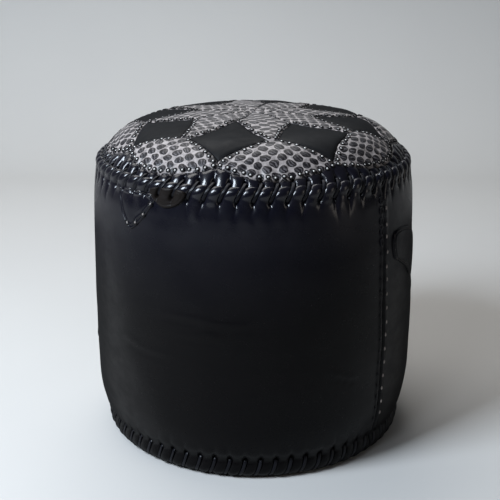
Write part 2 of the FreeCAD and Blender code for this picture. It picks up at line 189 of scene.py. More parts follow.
def piece(name, points, faces, material, replaced, body="pouf"):
    """A smooth mesh that rides on a body and stands for the named CAD nodes."""
    mesh = bpy.data.meshes.new(name)
    mesh.from_pydata(np.asarray(points).reshape(-1, 3).tolist(), [], np.asarray(faces).tolist())
    mesh.polygons.foreach_set("use_smooth", [True] * len(mesh.polygons))
    for m in material if isinstance(material, (list, tuple)) else [material]:
        mesh.materials.append(m)
    mesh.update()
    thing = put(name, mesh)
    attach(thing, body)
    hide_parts(*replaced)
    return thing


def thicken(thing, thickness=LEATHER):
    """Gives a leather skin its thickness, inwards from its face."""
    solid = thing.modifiers.new("thickness", "SOLIDIFY")
    solid.thickness = thickness
    solid.offset = -1


def scatter(template, faces, places, across, along, out):
    """Copies of a small template at the given places, each turned to its own three directions."""
    template = np.asarray(template)
    copies = (places[:, None] + template[None, :, 0:1] * across[:, None]
              + template[None, :, 1:2] * along[:, None] + template[None, :, 2:3] * out[:, None])
    shift = (np.arange(len(places)) * len(template))[:, None, None]
    return copies.reshape(-1, 3), (np.asarray(faces)[None] + shift).reshape(-1, 4)


def ring_template(major, minor, squash, around=16, tube=8):
    """A flattened ring in the plane of its first two axes."""
    a = np.linspace(0, TURN, around, endpoint=False)[:, None]
    b = np.linspace(0, TURN, tube, endpoint=False)[None, :]
    reach = major + minor * np.cos(b)
    points = np.stack([reach * np.cos(a), reach * np.sin(a), minor * squash * np.sin(b) + 0 * a], -1)
    return points.reshape(-1, 3), grid_faces(around, tube, True, True)


def bead_template(radius, height, around=12, rings=4):
    """A low dome."""
    a = np.linspace(0, TURN, around, endpoint=False)[None, :]
    t = np.linspace(0, 1, rings)[:, None] * pi / 2 * 0.98
    points = np.stack([radius * np.cos(t) * np.cos(a), radius * np.cos(t) * np.sin(a),
                       height * np.sin(t) + 0 * a], -1)
    return points.reshape(-1, 3), grid_faces(rings, around, False, True)


def two_looks(name, first, second, looks, node):
    """One piece of two sets of points and faces, each with its own look."""
    points = np.concatenate([first[0], second[0]])
    faces = np.concatenate([first[1], second[1] + len(first[0])])
    thing = piece(name, points, faces, looks, [node])
    index = np.zeros(len(faces), np.int32)
    index[len(first[1]):] = 1
    thing.data.polygons.foreach_set("material_index", index)


def crossed(out, up_hint):
    """Directions across and along a surface, from its normals and a rough upward direction."""
    across = unit(np.cross(np.broadcast_to(np.array(up_hint), out.shape), out))
    return across, np.cross(out, across)


# ---- materials ----

class Shader:
    """A material's node tree, with short calls to add nodes."""

    def __init__(self, name):
        self.material = bpy.data.materials.new(name)
        self.material.use_nodes = True
        self.tree = self.material.node_tree
        self.surface = self.tree.nodes["Principled BSDF"]

    def add(self, kind, settings=None, **inputs):
        node = self.tree.nodes.new("ShaderNode" + kind)
        for key, value in (settings or {}).items():
            setattr(node, key, value)
        for key, value in inputs.items():
            self.feed(node, key.replace("_", " "), value)
        return node

    def feed(self, node, name, value):
        """Links or sets an input, by its name or, as i0, i1 and so on, by its place."""
        socket = node.inputs[int(name[1:]) if name[1:].isdigit() else name]
        if isinstance(value, bpy.types.NodeSocket):
            self.tree.links.new(value, socket)
        else:
            socket.default_value = value

    def coordinates(self, scale=(1, 1, 1)):
        place = self.add("TexCoord").outputs["Object"]
        return self.add("Mapping", Vector=place, Scale=scale).outputs["Vector"]

    def noise(self, vector, scale, detail=3.0, roughness=0.55):
        node = self.add("TexNoise", Vector=vector, Scale=scale, Detail=detail, Roughness=roughness)
        return node.outputs["Fac"]

    def cells(self, vector, scale, feature="F1", randomness=1.0):
        node = self.add("TexVoronoi", {"feature": feature}, Vector=vector, Scale=scale, Randomness=randomness)
        return node.outputs["Distance"]

    def math(self, operation, a, b=0.0):
        return self.add("Math", {"operation": operation}, i0=a, i1=b).outputs["Value"]

    def vectors(self, operation, a, b=(0, 0, 0), c=(0, 0, 0), result="Vector"):
        node = self.add("VectorMath", {"operation": operation})
        for name, value in zip(("i0", "i1", "i2"), (a, b, c)):
            self.feed(node, name, value)
        return node.outputs[result]

    def spread(self, value, low, high, to_low=0.0, to_high=1.0):
        node = self.add("MapRange", {"interpolation_type": "SMOOTHSTEP"}, Value=value)
        for name, number in (("From Min", low), ("From Max", high), ("To Min", to_low), ("To Max", to_high)):
            node.inputs[name].default_value = number
        return node.outputs["Result"]

    def mix(self, factor, a, b):
        node = self.add("Mix", {"data_type": "RGBA"}, i0=factor)
        for name, color in (("i6", a), ("i7", b)):
            self.feed(node, name, color if isinstance(color, bpy.types.NodeSocket) else (*color, 1))
        return node.outputs[2]

    def matte_at_edge(self, rough):
        """Roughness that rises where the surface is seen edge on, as fine grain does."""
        facing = self.add("LayerWeight", Blend=0.35).outputs["Facing"]
        rest = self.math("SUBTRACT", 0.92, rough)
        return self.math("ADD", rough, self.math("MULTIPLY", rest, self.spread(facing, 0.30, 0.85)))

    def bump(self, height, distance, strength=1.0, under=None):
        node = self.add("Bump", Height=height, Distance=distance, Strength=strength)
        if under is not None:
            self.feed(node, "Normal", under)
        return node.outputs["Normal"]

    def finish(self, color, roughness, normal=None, **constants):
        self.feed(self.surface, "Base Color", color)
        self.feed(self.surface, "Roughness", roughness)
        if normal is not None:
            self.feed(self.surface, "Normal", normal)
        for key, value in constants.items():
            self.feed(self.surface, key.replace("_", " "), value)
        return self.material


def leather(name, dark, light, shine=(0.24, 0.40), grain=1.3 * MM, depth=0.06 * MM, coat=0.0, specular=0.12,
            painted_shade_below=None):
    """Hide: pebbled grain, fine creases, blotches of tint, and shine that is rubbed unevenly.

    With a dark tint for the bottom, painted shade darkens the drum low down and the colour lightens upwards to
    the rim as painted sheen, and the wax starts part of the way up the drum.
    """
    s = Shader(name)
    place = s.coordinates()
    blotches = s.noise(place, 7.0, 4.0)
    sags = s.noise(s.coordinates((1, 1, 2.2)), 26.0, 3.0)
    pebbles = s.cells(place, 1 / grain, "SMOOTH_F1")
    creases = s.noise(place, 140.0, 6.0, 0.62)
    scuffs = s.noise(place, 55.0, 5.0, 0.7)
    tint = s.mix(s.spread(blotches, 0.35, 0.68), dark, light)
    worn = tuple(min(1.0, 2.0 * c + 0.002) for c in light)
    color = s.mix(s.spread(scuffs, 0.66, 0.80, 0.0, 0.5), tint, worn)
    if painted_shade_below:
        height = s.add("SeparateXYZ", Vector=place).outputs["Z"]
        # painted shade: the colour is darkest low on the drum and lightens with height, to a painted sheen near
        # the rim
        color = s.mix(s.spread(height, 200 * MM, 390 * MM), painted_shade_below, color)
        coat = s.spread(height, 300 * MM, 395 * MM, 0.0, coat)
    rough = s.spread(s.math("ADD", s.math("MULTIPLY", sags, 0.5), s.math("MULTIPLY", scuffs, 0.5)),
                     0.36, 0.66, shine[0], shine[1])
    normal = s.bump(pebbles, depth, 0.7)
    normal = s.bump(creases, 2.0 * depth, 0.45, normal)
    normal = s.bump(sags, 8 * depth, 0.35, normal)
    return s.finish(color, s.matte_at_edge(rough), normal, Coat_Weight=coat, Coat_Roughness=0.16,
                    Specular_IOR_Level=specular)


def snakeskin(name):
    """A printed and pressed snakeskin: dark hatched scales in staggered rows on a pale net."""
    s = Shader(name)
    flat = s.add("Attribute", {"attribute_name": "pattern"}).outputs["Vector"]
    wander = s.add("TexNoise", Vector=flat, Scale=48.0, Detail=2.0).outputs["Color"]
    flat = s.vectors("ADD", flat, s.vectors("MULTIPLY_ADD", wander, (0.008,) * 3, (-0.004,) * 3))
    across, along = 20.5 * MM, 16.5 * MM

    def lattice(shift):
        cell = s.vectors("MULTIPLY_ADD", flat, (1 / across, 1 / along, 0), (shift, shift, 0))
        cell = s.vectors("FRACTION", cell)
        cell = s.vectors("MULTIPLY_ADD", cell, (1, along / across * 1.24, 0), (-0.5, -0.62 * along / across, 0))
        return s.vectors("LENGTH", cell, result="Value")

    away = s.math("MINIMUM", lattice(0.25), lattice(0.75))
    ragged = s.math("MULTIPLY", s.noise(flat, 420.0, 3.0), 0.09)
    away = s.math("ADD", away, s.math("SUBTRACT", ragged, 0.045))
    scale = s.spread(away, 0.285, 0.315, 1.0, 0.0)
    outline = s.math("MULTIPLY", s.spread(away, 0.225, 0.265), s.spread(away, 0.300, 0.330, 1.0, 0.0))
    patchy = s.noise(flat, 90.0, 2.0)
    hatch = s.add("TexWave", {"wave_type": "BANDS", "bands_direction": "DIAGONAL"}, Vector=flat, Scale=105.0,
                  Distortion=5.0, Detail=2.0, Detail_Scale=1.5).outputs["Fac"]
    hatch = s.math("MULTIPLY", s.spread(hatch, 0.45, 0.85), s.spread(patchy, 0.40, 0.60, 0.25, 0.95))
    ink = s.mix(hatch, (0.0060, 0.0052, 0.0066), (0.080, 0.073, 0.076))
    soil = s.noise(flat, 130.0, 5.0, 0.7)
    net = s.mix(s.spread(soil, 0.35, 0.72), (0.285, 0.255, 0.246), (0.100, 0.088, 0.086))
    color = s.mix(scale, net, ink)
    color = s.mix(s.math("MULTIPLY", outline, 0.8), color, (0.007, 0.006, 0.006))
    raised = s.spread(away, 0.08, 0.36, 1.0, 0.0)
    normal = s.bump(raised, 0.55 * MM, 0.8)
    normal = s.bump(soil, 0.25 * MM, 0.6, normal)
    rough = s.spread(soil, 0.3, 0.7, 0.34, 0.52)
    return s.finish(color, rough, normal, Specular_IOR_Level=0.2)


def woven(name, dark, light, thread=0.9 * MM, rough=0.85):
    """Cloth: two crossing sets of threads, with a little fuzz."""
    s = Shader(name)
    place = s.coordinates()
    warp = s.add("TexWave", {"bands_direction": "X"}, Vector=place, Scale=0.3 / thread, Distortion=0.6)
    weft = s.add("TexWave", {"bands_direction": "Z"}, Vector=place, Scale=0.3 / thread, Distortion=0.6)
    weave = s.math("MAXIMUM", warp.outputs["Fac"], weft.outputs["Fac"])
    fuzz = s.noise(place, 300.0, 4.0)
    color = s.mix(s.math("MULTIPLY", weave, fuzz), dark, light)
    normal = s.bump(weave, 0.2 * MM, 0.7)
    return s.finish(color, rough, s.bump(fuzz, 0.2 * MM, 0.5, normal), Sheen_Weight=0.25)


def foam(name, dark, light, cell=1.6 * MM):
    """Open-cell foam or fluffed wadding."""
    s = Shader(name)
    place = s.coordinates()
    pores = s.cells(place, 1 / cell)
    clumps = s.noise(place, 45.0, 4.0)
    color = s.mix(s.math("MULTIPLY", pores, clumps), light, dark)
    normal = s.bump(pores, 0.6 * MM, 0.8)
    return s.finish(color, 0.9, s.bump(clumps, 2 * MM, 0.5, normal), Sheen_Weight=0.2)


def brass(name):
    """Aged brass: tarnish in blotches over a brushed surface."""
    s = Shader(name)
    place = s.coordinates()
    tarnish = s.noise(place, 160.0, 5.0, 0.65)
    scratches = s.noise(s.coordinates((1, 12, 1)), 400.0, 3.0)
    color = s.mix(s.spread(tarnish, 0.38, 0.68), (0.62, 0.47, 0.22), (0.20, 0.14, 0.07))
    rough = s.spread(tarnish, 0.3, 0.7, 0.24, 0.55)
    return s.finish(color, rough, s.bump(scratches, 0.05 * MM, 0.5), Metallic=1.0)


def pale_floor(name):
    s = Shader(name)
    color = s.mix(s.noise(s.coordinates(), 2.0), (0.44, 0.43, 0.415), (0.47, 0.46, 0.44))
    return s.finish(color, 0.75, Specular_IOR_Level=0.2)


# The glossy leather is painted darker low on the drum as shade and lighter towards the rim as sheen
LEATHER_LOOK = leather("leather_glossy", (0.0022, 0.0023, 0.0050), (0.0065, 0.0058, 0.0085), coat=0.55,
                       specular=0.10, painted_shade_below=(0.0007, 0.0005, 0.0008))
SQUARE_LOOK = leather("leather_matte", (0.0040, 0.0041, 0.0046), (0.0070, 0.0072, 0.0078), (0.44, 0.60),
                      0.9 * MM, 0.05 * MM, specular=0.06)
BROWN_LOOK = leather("leather_brown", (0.0050, 0.0034, 0.0028), (0.0095, 0.0066, 0.0052), (0.45, 0.60))
THONG_LOOK = leather("leather_thong", (0.0020, 0.0020, 0.0036), (0.005, 0.005, 0.0075), (0.30, 0.48),
                     0.9 * MM, 0.05 * MM, specular=0.16)
SNAKE_LOOK = snakeskin("snakeskin_print")
THREAD_LOOK = leather("thread_waxed", (0.0035, 0.0035, 0.004), (0.008, 0.0075, 0.008), (0.22, 0.36), 0.5 * MM)
EYE_LOOK = leather("stitch_eye", (0.44, 0.42, 0.40), (0.60, 0.58, 0.56), (0.3, 0.45), 0.5 * MM, 0.03 * MM)
# Pale beads in the stitches, coloured as a painted glint
GLINT_LOOK = leather("stitch_bead_painted_glint", (0.16, 0.14, 0.13), (0.32, 0.28, 0.26), (0.18, 0.3), 0.5 * MM, 0.03 * MM)


# ---- what the lace does to the leather ----

def turns_at(phi):
    """How many turns of the lace lie between the front and that angle."""
    return phi / TURN * LACE_TURNS


def climb(r, z, wrap):
    """How far a turn of the lace has leaned round the drum, in turns, where it passes over (r, z)."""
    middle_r, middle_z, first, last = wrap
    angle = np.arctan2(z - middle_z, r - middle_r)
    angle = np.where(angle > radians(170), angle - TURN, angle)
    return LACE_LEAN * np.clip((angle - first) / (last - first), 0, 1)


def pleats(turns, depth, seed, height, reach):
    """How far leather stands out between two pinches of the lace, at a depth away from it."""
    turns = turns + 0.16 * soft_noise(turns, depth / (14 * MM), seed + 1) * smooth(depth / (16 * MM))
    whole = np.floor(turns).astype(int)
    part = turns - whole
    reach = reach * (0.5 + 1.1 * per_turn(seed + 2)[whole % LACE_TURNS])
    height = height * (0.7 + 0.6 * per_turn(seed + 3)[whole % LACE_TURNS])
    fade = np.exp(-(np.maximum(depth, 0) / reach) ** 1.6)
    return height * (np.sin(pi * part) ** 0.8 - 0.45) * fade


def tucks(turns, depth, seed, deep, reach):
    """Narrow creases that run away from some of the pinches."""
    drift = 0.6 * (per_turn(seed) - 0.5)
    nearest = np.round(turns).astype(int)
    away = (turns - nearest - drift[nearest % LACE_TURNS] * depth / (60 * MM)) * LACE_PITCH
    own = per_turn(seed + 1)[nearest % LACE_TURNS]
    width = 1.6 * MM + 0.05 * np.maximum(depth, 0)
    fade = np.exp(-(np.maximum(depth, 0) / (reach * (0.3 + own))) ** 1.7)
    return -deep * own * np.exp(-(away / width) ** 2) * fade


def slots(turns, inside):
    """The grooves that the thong pulls into the leather between its holes."""
    away = (turns - np.round(turns)) * LACE_PITCH
    return -SLOT_DEPTH * np.exp(-(np.abs(away) / SLOT_HALF_WIDE) ** 2.5) * inside


def holes(turns, along):
    """The dents round the thong's holes, at a distance along the leather."""
    away = (turns - np.round(turns)) * LACE_PITCH
    return -HOLE_DEPTH * np.exp(-(away / HOLE_HALF_WIDE) ** 2 - (along / HOLE_HALF_LONG) ** 2)


# Long soft creases in the wall: angle and height of each end in degrees and millimetres, and how
# deep it is against the usual depth
CREASE_DEPTH = 1.5
CREASES = [(-36, 226, 4, 221, 0.9), (-30, 203, -6, 199, 0.7), (-52, 176, -22, 168, 0.6),
           (24, 146, 38, 131, 0.9), (-12, 118, 14, 126, 0.5), (60, 205, 88, 214, 0.8),
           (96, 160, 124, 152, 0.7), (132, 232, 168, 224, 0.9), (176, 140, 204, 150, 0.7),
           (-118, 212, -84, 206, 0.8), (-96, 128, -70, 138, 0.6), (110, 300, 140, 292, 0.6)]


def long_creases(phi, z):
    total = 0.0
    for phi0, z0, phi1, z1, deep in CREASES:
        start = np.array([radians(phi0) * DRUM_R, z0 * MM])
        run = np.array([radians(phi1) * DRUM_R, z1 * MM]) - start
        length = hypot(*run)
        run = run / length
        turned = (phi - radians(phi0) + pi) % TURN - pi
        u, v = turned * DRUM_R, z - start[1]
        along = u * run[0] + v * run[1]
        off = v * run[0] - u * run[1] + 2.5 * MM * np.sin(along * 55 + phi0)
        ends = smooth(along / (0.3 * length)) * smooth((length - along) / (0.3 * length))
        valley = np.exp(-(off / (2.4 * MM)) ** 2)
        ridge = np.exp(-((off - 5 * MM) / (4.5 * MM)) ** 2)
        total = total - CREASE_DEPTH * deep * MM * ends * (valley - 0.8 * ridge)
    return total


# ---- the wall ----

WALL_CURVE = spline_through(np.array(WALL_LINE) * MM, 40)


def seam_distance(phi):
    """Distance along the wall to the nearer upright seam, positive to the seam's right."""
    offsets = [((phi - seam + pi) % TURN - pi) * DRUM_R for seam in (SEAM_RIGHT, SEAM_LEFT)]
    return np.where(np.abs(offsets[0]) < np.abs(offsets[1]), offsets[0], offsets[1])


def wall_relief(phi, r, z):
    """How far the leather stands off the smooth wall."""
    top = turns_at(phi) - climb(r, z, CROWN_WRAP)
    base = turns_at(phi) - climb(r, z, BASE_WRAP)
    down, up = TOP_HOLE_Z - z, z - BASE_HOLE_Z
    relief = pleats(top, down, 11, 3.0 * MM, 9 * MM) + tucks(top, down, 21, 1.6 * MM, 12 * MM)
    relief = relief + pleats(base, up, 31, 2.4 * MM, 10 * MM) + tucks(base, up, 41, 1.5 * MM, 12 * MM)
    relief = relief + slots(top, smooth((MM - down) / (3 * MM)))
    relief = relief + 0.7 * slots(base, smooth((MM - up) / (3 * MM)))
    relief = relief + holes(top, down) + holes(base, up)
    open_wall = smooth(down / (30 * MM)) * smooth(up / (30 * MM))
    turns = turns_at(phi)
    slack = soft_noise(turns / 3, z / (60 * MM), 5) * 1.1 + soft_noise(turns / 1.5, z / (34 * MM), 6) * 0.35
    relief = relief + (slack * MM + long_creases(phi, z)) * open_wall
    away = seam_distance(phi)
    middle = smooth(down / (14 * MM)) * smooth(up / (14 * MM))
    pucker = 0.35 * MM * np.cos(TURN * z / (18.5 * MM)) * np.exp(-(np.abs(away) / (9 * MM)) ** 2)
    lip = 1.1 * MM * np.exp(-((np.abs(away) - 5 * MM) / (3.4 * MM)) ** 2)
    groove = -2.6 * MM * np.exp(-(away / (1.5 * MM)) ** 2)
    return relief + middle * (pucker + lip) + groove


def wall_frame(z):
    """Radius of the smooth wall at a height on its open stretch, and its normal's two parts."""
    part = WALL_CURVE[(WALL_CURVE[:, 1] >= 16 * MM) & (WALL_CURVE[:, 1] <= 398 * MM)]
    part = part[np.argsort(part[:, 1])]
    r = np.interp(z, part[:, 1], part[:, 0])
    slope = (np.interp(z + MM, part[:, 1], part[:, 0]) - np.interp(z - MM, part[:, 1], part[:, 0])) / (2 * MM)
    size = np.sqrt(1 + slope ** 2)
    return r, 1 / size, -slope / size


def wall_point(phi, z, lift=0.0):
    """A point on the wall's leather, and further out by the lift."""
    r, out, rise = wall_frame(z)
    off = wall_relief(phi, r, z) + lift
    return round_drum(r + off * out, phi, z + off * rise)


def wall_normal(phi, z):
    phi, out, rise = np.broadcast_arrays(phi, *wall_frame(z)[1:])
    return np.stack([out * np.sin(phi), -out * np.cos(phi), rise], -1)


def wall_panel(name, first, last):
    """One panel, from one upright seam to the other, with its lips turned in at the rims."""
    steps = np.linspace(0, 1, 150)
    steps = steps - 0.115 * np.sin(TURN * steps)
    line = at_lengths(WALL_CURVE, steps)
    tangent = unit(np.gradient(line, axis=0))
    out, rise = tangent[:, 1:2], -tangent[:, 0:1]
    phi = np.linspace(first, last, LACE_TURNS // 2 * COLUMNS_PER_TURN + 1)[None, :]
    r, z = line[:, 0:1], line[:, 1:2]
    off = wall_relief(phi, r, z)
    lips = smooth(steps / 0.014)[:, None] * smooth((1 - steps) / 0.010)[:, None]
    points = round_drum(r + off * out * lips, phi, z + off * rise * lips)
    panel = piece(name + "_hide", points, grid_faces(*points.shape[:2]), LEATHER_LOOK, [name])
    thicken(panel)


# ---- the crown ----

def dome_arcs():
    """Centre height of the wide arc, tilt where the arcs join, and centre of the shoulder arc."""
    low = CROWN_TOP_Z - CROWN_ARC_R
    reach = hypot(EDGE_DROP_R, EDGE_DROP_Z - low)
    between = CROWN_ARC_R - SHOULDER_ARC_R
    cosine = (reach ** 2 + between ** 2 - SHOULDER_ARC_R ** 2) / (2 * reach * between)
    tilt = atan2(EDGE_DROP_R, EDGE_DROP_Z - low) - atan2(sqrt(1 - cosine ** 2), cosine)
    return low, tilt, between * sin(tilt), low + between * cos(tilt)


CROWN_CENTRE_Z, JOIN_TILT, SHOULDER_R, SHOULDER_Z = dome_arcs()
JOIN_R = CROWN_ARC_R * sin(JOIN_TILT)


def dome_tilt(r):
    wide = np.arcsin(np.minimum(r, JOIN_R) / CROWN_ARC_R)
    tight = np.arcsin(np.clip((r - SHOULDER_R) / SHOULDER_ARC_R, 0, 1))
    return np.where(r < JOIN_R, wide, tight)


def dome_height(r):
    tilt = dome_tilt(r)
    wide = CROWN_CENTRE_Z + CROWN_ARC_R * np.cos(tilt)
    return np.where(r < JOIN_R, wide, SHOULDER_Z + SHOULDER_ARC_R * np.cos(tilt))


def dome_length(r):
    """Distance from the dome's top to that radius, along the leather."""
    tilt = dome_tilt(r)
    join = CROWN_ARC_R * JOIN_TILT
    return np.where(r < JOIN_R, CROWN_ARC_R * tilt, join + SHOULDER_ARC_R * (tilt - JOIN_TILT))


def crown_relief(x, y):
    """How far the crown's leather stands off the smooth dome, apart from its seams."""
    r = np.hypot(x, y)
    turns = turns_at(np.arctan2(x, -y)) - climb(r, dome_height(r), CROWN_WRAP)
    depth = dome_length(np.float64(CROWN_HOLE_R)) - dome_length(r)
    relief = pleats(turns, depth, 61, 3.4 * MM, 15 * MM) + tucks(turns, depth, 71, 2.2 * MM, 16 * MM)
    relief = relief + slots(turns, smooth((MM - depth) / (3 * MM))) + holes(turns, depth)
    relief = relief + 1.8 * MM * smooth((EDGE_DROP_R - r) / (60 * MM))
    slack = soft_noise(x / (31 * MM), y / (31 * MM), 8) * 0.8
    slack = slack + soft_noise(x / (13 * MM), y / (13 * MM), 9) * 0.25
    return relief + slack * MM


def crown_point(x, y, lift=0.0):
    r = np.hypot(x, y)
    tilt = dome_tilt(r)
    off = crown_relief(x, y) + lift
    safe = np.maximum(r, 1e-9)
    return np.stack([x + off * np.sin(tilt) * x / safe, y + off * np.sin(tilt) * y / safe,
                     dome_height(r) + off * np.cos(tilt)], -1)


def crown_normal(x, y):
    r = np.maximum(np.hypot(x, y), 1e-9)
    tilt = dome_tilt(r)
    return np.stack([x / r * np.sin(tilt), y / r * np.sin(tilt), np.cos(tilt)], -1)


def plan(r, phi):
    return np.array([r * sin(phi), -r * cos(phi)])


def turned(points, angle):
    """Plan points turned about the axis, from the front towards +X."""
    c, s = cos(angle), sin(angle)
    return points @ np.array([[c, s], [-s, c]])


def side_line(corners, counts):
    """Plan points along straight runs, with a set number of steps on each."""
    line = [corners[0][None]]
    for a, b, n in zip(corners, corners[1:], counts):
        line.append(a + (b - a) * (np.arange(1, n + 1) / n)[:, None])
    return np.concatenate(line)


def between_lines(left, right, columns):
    t = np.linspace(0, 1, columns)[None, :, None]
    return left[:, None] * (1 - t) + right[:, None] * t


def scallop(phi):
    """Radius of the kites' outer edge, at an angle from a kite's middle."""
    return SCALLOP_HIGH_R - (SCALLOP_HIGH_R - SCALLOP_LOW_R) * (1 - np.cos(phi * 3.0)) / (1 - cos(STEP * 1.5))


# Where hand sewing put some corners, against the even plan: (radius, degrees) to (radius, degrees)
SEWN_OFF = [((84, -13.5), (68, -19)), ((186, 31.5), (191, 31.5)), ((150, 51.5), (156, 53.5)),
            ((150, 9), (142, 10)), ((84, 31.5), (86, 35)), ((84, -58.5), (90, -63)), ((150, 56.5), (148, 61)),
            ((186, 76.5), (186, 72)), ((84, 121.5), (80, 118)), ((150, 144), (145, 146)),
            ((84, -148.5), (89, -145)), ((186, -148.5), (183, -151))]
SEWN_REACH = 20 * MM


def hand_sewn(points):
    """Plan points moved with the nearest of the corners that are sewn off the even plan."""
    moved = np.zeros_like(points)
    total = np.zeros(points.shape[:-1])
    for (r0, phi0), (r1, phi1) in SEWN_OFF:
        start = plan(r0 * MM, radians(phi0))
        weight = np.exp(-np.sum((points - start) ** 2, -1) / (2 * SEWN_REACH ** 2))
        moved += weight[..., None] * (plan(r1 * MM, radians(phi1)) - start)
        total += weight
    return points + moved / np.maximum(total, 1)[..., None]


def star_plan():
    half = STEP / 2
    corners = [plan(CENTRE_R, half), plan(NOTCH_R, half), plan(TIP_R, NECK)]
    right = side_line(corners, (50, 50))
    return between_lines(right * (-1, 1), right, 49)


def kite_plan():
    half = STEP / 2
    corners = [plan(TIP_R, NECK), plan(SQUARE_OUT_R, half), plan(SCALLOP_LOW_R, half)]
    right = side_line(corners, (48, 6))
    grid = between_lines(right * (-1, 1), right, 73)
    phi = np.arctan2(grid[-1, :, 0], -grid[-1, :, 1])
    edge = round_drum(scallop(phi), phi, 0)[:, :2]
    weight = (np.linspace(0, 1, len(grid)) ** 2)[:, None, None]
    return grid + (edge - grid[-1])[None] * weight


def square_plan():
    side = STEP / 2 - NECK
    left = side_line([plan(NOTCH_R, 0), plan(TIP_R, -side)], (46,))
    right = side_line([plan(TIP_R, side), plan(SQUARE_OUT_R, 0)], (46,))
    return between_lines(left, right, 47)


def edge_distance(grid):
    """Distance of each plan point of a patch from the patch's outline."""
    rim = np.concatenate([grid[0], grid[:, -1], grid[-1, ::-1], grid[::-1, 0]])
    points = grid.reshape(-1, 2)
    best = np.full(len(points), 1.0)
    for a, b in zip(rim, np.roll(rim, -1, 0)):
        run = b - a
        size = run @ run
        if size > 1e-12:
            t = np.clip((points - a) @ run / size, 0, 1)
            best = np.minimum(best, np.linalg.norm(points - a - t[:, None] * run, axis=1))
    return best.reshape(grid.shape[:2])


def crown_patch(name, grid, angle, look, seed, puff=1.0 * MM):
    """A patch of the crown: pillowed between its seams, which sink into the dome."""
    away = edge_distance(grid)
    seam = (1 - np.clip(away / (6 * MM), 0, 1)) ** 2
    lift = puff * smooth(away / (26 * MM)) - 1.5 * MM * seam
    around = hand_sewn(turned(grid, angle))
    points = crown_point(around[..., 0], around[..., 1], lift)
    patch = piece(name + "_skin", points, grid_faces(*grid.shape[:2])[:, ::-1], look, [name])
    radius = np.maximum(np.linalg.norm(grid, axis=-1), 1e-9)
    flat = grid * (dome_length(radius) / radius)[..., None]
    flat = np.concatenate([flat + np.random.default_rng(seed).uniform(0, 0.3, 2),
                           np.zeros((*grid.shape[:2], 1))], -1)
    pattern = patch.data.attributes.new("pattern", "FLOAT_VECTOR", "POINT")
    pattern.data.foreach_set("vector", flat.reshape(-1).astype(np.float32))
    thicken(patch)


def crown_patches():
    kinds = [("crown_star_point", star_plan(), STEP / 2, SNAKE_LOOK, "snakeskin"),
             ("crown_square", square_plan(), 0.0, SQUARE_LOOK, "matte_leather"),
             ("crown_kite", kite_plan(), STEP / 2, SNAKE_LOOK, "snakeskin")]
    for kind, (name, grid, offset, look, slot) in enumerate(kinds):
        for n in range(POINTS):
            angle = FIRST_SQUARE + offset + n * STEP
            crown_patch("%s_%d" % (name, n + 1), grid, angle, look, 100 * kind + n)


def crown_border():
    """The black leather from the scallops out to the rim, with its edge turned down inside."""
    columns = LACE_TURNS * COLUMNS_PER_TURN
    phi = np.arange(columns) * TURN / columns
    local = (phi - FIRST_SQUARE) % STEP - STEP / 2
    inner = scallop(local)
    t = (np.linspace(0, 1, 26) ** 0.9)[:, None]
    r = inner[None, :] * (1 - t) + EDGE_DROP_R * t
    x, y = r * np.sin(phi), -r * np.cos(phi)
    away = r - inner[None, :]
    seam = (1 - np.clip(away / (5 * MM), 0, 1)) ** 2
    points = crown_point(x, y, -1.5 * MM * seam)
    lip = [round_drum(EDGE_DROP_R - drop_r * MM, phi, EDGE_DROP_Z - drop * MM)
           for drop_r, drop in ((0.2, 2.4), (1.2, 4.6))]
    points = np.concatenate([points, np.stack(lip)])[::-1]
    border = piece("crown_border_hide", points, grid_faces(len(points), columns, wrap_columns=True),
                   LEATHER_LOOK, ["crown_border"])
    thicken(border)


# ---- stitches ----

def spots_along(line, pitch):
    """Points evenly along a line, half a pitch in from its ends."""
    length = np.linalg.norm(np.diff(line, axis=0), axis=1).sum()
    count = max(1, round(length / pitch))
    middle = (np.arange(count) + 0.5) / count
    return at_lengths(line, middle)


def crown_stitches():
    """Ring-shaped knots on the snakeskin's edges, each with a pale bead in its middle."""
    half, margin, pitch = STEP / 2, 3.7 * MM, 9.6 * MM
    notch, tip, out = plan(NOTCH_R, half), plan(TIP_R, NECK), plan(SQUARE_OUT_R, half)

    def beside(a, b):
        run = (b - a) / np.linalg.norm(b - a)
        return spots_along(np.array([a, b]), pitch) + np.array([run[1], -run[0]]) * margin

    right = np.concatenate([beside(notch, tip), beside(tip, out)])
    phi = np.linspace(-half, half, 60)
    edge = round_drum(scallop(phi) - margin, phi, 0)[:, :2]
    middle = spots_along(np.array([plan(2 * pitch, half), notch]), pitch)
    sector = np.concatenate([right, right * (-1, 1), spots_along(edge, pitch), middle])
    size = np.full(len(sector), 2.4 * MM)
    size[-len(middle):] = 1.4 * MM
    spots = np.concatenate([turned(sector, FIRST_SQUARE + half + n * STEP) for n in range(POINTS)])
    spots = hand_sewn(spots) + np.random.default_rng(3).normal(0, 0.45 * MM, spots.shape)
    places = crown_point(spots[:, 0], spots[:, 1], -0.1 * MM)
    out = crown_normal(spots[:, 0], spots[:, 1])
    rings(places, out, np.tile(size, POINTS)[:, None], "crown_stitches_rings", "crown_stitches", EYE_LOOK)


def rings(places, out, size, name, node, eye_look):
    """Rings of thread, each with a small bead in the middle, as one piece with two looks."""
    across, along = crossed(out, [0.0, 1.0, 0.3])
    across, along, out = across * size, along * size, out * size
    eyes = scatter(*ring_template(1.0, 0.37, 0.8), places + out * 0.18, across, along, out)
    beads = scatter(*bead_template(0.52, 0.32), places + out * 0.12, across, along, out)
    two_looks(name, eyes, beads, [THREAD_LOOK, eye_look], node)


# ---- the welts and the lace ----

